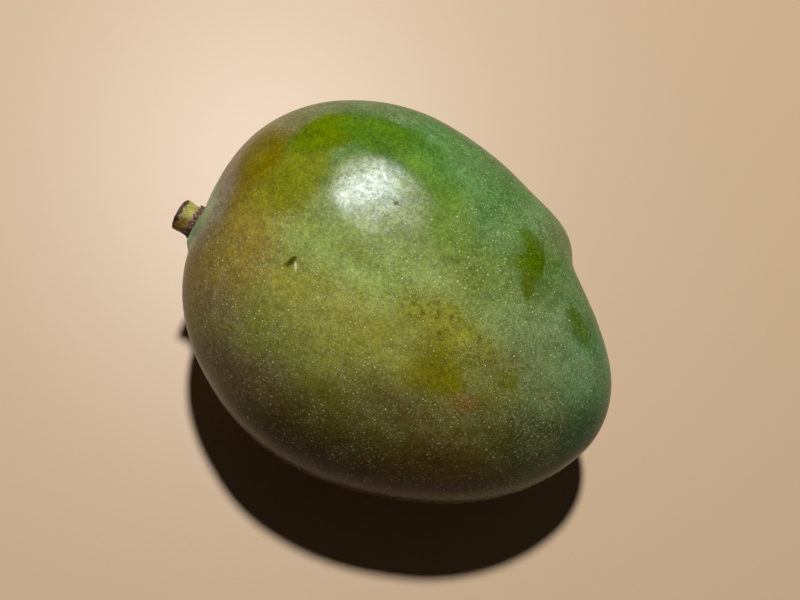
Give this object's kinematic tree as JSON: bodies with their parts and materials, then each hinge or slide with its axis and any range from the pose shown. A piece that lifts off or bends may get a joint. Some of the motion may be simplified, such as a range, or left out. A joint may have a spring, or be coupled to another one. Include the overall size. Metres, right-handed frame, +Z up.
{
  "type": "mango",
  "caption": "Whole mango lying on its cheek, green with a yellow and orange flush, with a short cut stub of its stalk.",
  "frame": {"origin": "under the middle of the whole thing's box, on the surface that it lies on", "axes": "+X from the stalk to the tip, +Y to the side with the sinus and the beak, +Z up, from the cheek that it lies on to the upper cheek"},
  "size_m": [0.1332, 0.1008, 0.083],
  "materials": {
    "skin": "waxy fruit skin with a thin bloom, pale pores and small corky scars",
    "stalk": "olive bark with a dark corky collar and a crusty cut end"
  },
  "bodies": {
    "root": {"fruit": "skin", "stem_stub": "stalk"}
  },
  "joints": []
}
